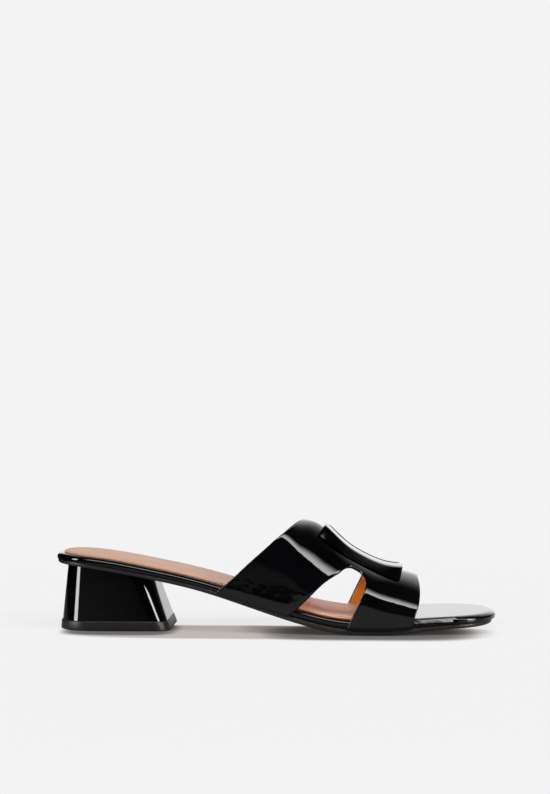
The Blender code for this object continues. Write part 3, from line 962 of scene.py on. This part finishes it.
# Painted soft shadows in the floor's glow, under the whole shoe, the ball of the foot and the heel.
paintedShadowPools = (
    {"middle": (0.002, -0.0265), "half": (0.123, 0.0325), "edges": (0.37, 1.08),
     "shade": (0.53, 0.475, 0.445)},
    {"middle": (0.054, -0.029), "half": (0.061, 0.0345), "edges": (0.12, 1.2),
     "shade": (0.18, 0.17, 0.165)},
    {"middle": (-0.087, -0.018), "half": (0.033, 0.0275), "edges": (0.35, 1.3),
     "shade": (0.13, 0.125, 0.12)},
)
# Light panels by the slopes of the direction they lie in: rising and falling edge along and across.
panels = (
    {"toward": "Z", "sign": 1.0, "across": "X", "along": "Y", "glow": 7.6,
     "acrossEdges": (-0.45, -0.2, 0.95, 1.2), "alongEdges": (-0.50, -0.46, -0.40, -0.02)},
    {"toward": "X", "sign": -1.0, "across": "Y", "along": "Z", "glow": 11.0,
     "acrossEdges": (-0.72, -0.66, -0.38, -0.32), "alongEdges": (-0.3, -0.2, 0.8, 1.0)},
    {"toward": "X", "sign": 1.0, "across": "Y", "along": "Z", "glow": 14.0,
     "acrossEdges": (-0.70, -0.64, -0.40, -0.34), "alongEdges": (-0.3, -0.2, 0.8, 1.0)},
)
view = {"distance": 1.300, "azimuth": 3.0, "height": 0.160, "pitch": 1.26, "turn": 3.0155,
        "lens": 103.15, "sensor": 36.0, "clip": (0.05, 50.0)}


def addCamera():
    camera = bpy.data.cameras.new("camera")
    camera.lens = view["lens"]
    camera.sensor_width = view["sensor"]
    camera.clip_start, camera.clip_end = view["clip"]
    spot = bpy.data.objects.new("camera", camera)
    around = math.radians(view["azimuth"])
    away = view["distance"]
    spot.location = (away * math.sin(around), -away * math.cos(around), view["height"])
    spot.rotation_euler = (math.radians(90.0 - view["pitch"]), 0.0, math.radians(view["turn"]))
    scene.collection.objects.link(spot)
    scene.camera = spot


def addFloor():
    bm = bmesh.new()
    bmesh.ops.create_circle(bm, cap_ends=True, segments=studio["floorSegments"],
                            radius=studio["floorRadius"])
    mesh = bpy.data.meshes.new("floor")
    bm.to_mesh(mesh)
    bm.free()
    floor = bpy.data.objects.new("floor", mesh)
    floor.location.z = -studio["floorDrop"]
    scene.collection.objects.link(floor)
    look, shader, place = newLook("paper", Base_Color=studio["floorAlbedo"],
                                  Roughness=studio["floorRoughness"],
                                  Specular_IOR_Level=studio["floorShine"])
    tree = look.node_tree
    far = place.node("ShaderNodeVectorMath", {0: place}, output=1, operation="LENGTH")
    seen = place.node("ShaderNodeLightPath", {})
    glossy = place.node("ShaderNodeLightPath", {}, output=3)
    reach = {"Distance": studio["touchReach"], "Normal": studio["touchLean"]}
    clear = place.node("ShaderNodeAmbientOcclusion", reach, output=1, samples=studio["touchSamples"])
    wide = place.node("ShaderNodeSeparateXYZ", {0: place}, output=0)
    depth = place.node("ShaderNodeSeparateXYZ", {0: place}, output=1)
    white = (1.0, 1.0, 1.0)
    # painted contact shade: ambient occlusion darkens the floor's glow colour near the sole and the lift
    touch = clear.clip(*studio["touchEdges"])
    tone = None
    # painted shadows: each pool darkens the floor's glow colour inside its soft superellipse
    for pool in paintedShadowPools:
        u = (wide - pool["middle"][0]) / pool["half"][0]
        v = (depth - pool["middle"][1]) / pool["half"][1]
        outside = (u * u * u * u + v * v * v * v).clip(*pool["edges"])
        shade = outside.blend(pool["shade"], white)
        if tone is None:
            touch = touch.calc("MAXIMUM", touch, outside)
            tone = touch.blend(studio["touchShade"], white)
        tone = place.node("ShaderNodeVectorMath", {0: tone, 1: shade}, operation="MULTIPLY")
    glow = tree.nodes.new("ShaderNodeEmission")
    bounce = studio["paperBounce"] + (1.0 - studio["paperBounce"]) * depth.clip(*studio["bounceDepth"])
    bounce = bounce * wide.clip(*studio["bounceLeft"])
    level = studio["paper"] * (bounce + (1.0 - bounce) * seen)
    lit = place.node("ShaderNodeVectorMath", {0: tone, "Scale": level}, operation="SCALE")
    tree.links.new(lit.socket, glow.inputs["Color"])
    share = studio["floorGlow"] + (1.0 - studio["floorGlow"]) * far.clip(*studio["fade"])
    share = share.calc("MAXIMUM", share, glossy * studio["glossGlow"])
    mix = tree.nodes.new("ShaderNodeMixShader")
    tree.links.new(share.socket, mix.inputs[0])
    tree.links.new(shader.outputs[0], mix.inputs[1])
    tree.links.new(glow.outputs[0], mix.inputs[2])
    tree.links.new(mix.outputs[0], tree.nodes["Material Output"].inputs[0])
    mesh.materials.append(look)


def addWorld():
    # white sweep behind the shoe, dim room in front of it
    world = bpy.data.worlds.new("studio")
    scene.world = world
    world.use_nodes = True
    tree = world.node_tree
    start = tree.nodes.new("ShaderNodeTexCoord")
    toward = Wire(tree, start.outputs["Generated"])
    split = tree.nodes.new("ShaderNodeSeparateXYZ")
    tree.links.new(toward.socket, split.inputs[0])
    axis = {name: Wire(tree, split.outputs[name]) for name in "XYZ"}
    up = axis["Z"]
    between = axis["X"].clip(*studio["backLeft"]) * (1.0 - axis["X"].clip(*studio["backRight"]))
    behind = axis["Y"].clip(*studio["backFront"]) * (1.0 - up.clip(*studio["backTop"])) * between
    sweep = studio["backLow"] + (studio["backHigh"] - studio["backLow"]) * up.clip(*studio["backRise"])
    front = (0.0 - axis["Y"]).clip(*studio["roomFront"])
    room = studio["roomTop"] + studio["roomGlow"] * (1.0 - up.clip(*studio["roomRise"])) * front
    glow = behind * sweep + (1.0 - behind) * room
    for panel in panels:
        ahead = axis[panel["toward"]] * panel["sign"]
        reach = ahead.calc("MAXIMUM", ahead, studio["panelNear"])
        box = ahead.clip(*studio["panelFacing"]) * panel["glow"]
        for name in ("across", "along"):
            slope = axis[panel[name]] / reach
            edges = panel[name + "Edges"]
            box = box * slope.clip(*edges[:2]) * (1.0 - slope.clip(*edges[2:]))
        glow = glow + box
    seen = toward.node("ShaderNodeLightPath", {})
    level = seen * studio["paper"] + (1.0 - seen) * glow
    back = tree.nodes["Background"]
    back.inputs["Color"].default_value = (1.0, 1.0, 1.0, 1.0)
    tree.links.new(level.socket, back.inputs["Strength"])


addCamera()
addFloor()
addWorld()
print("studio set")
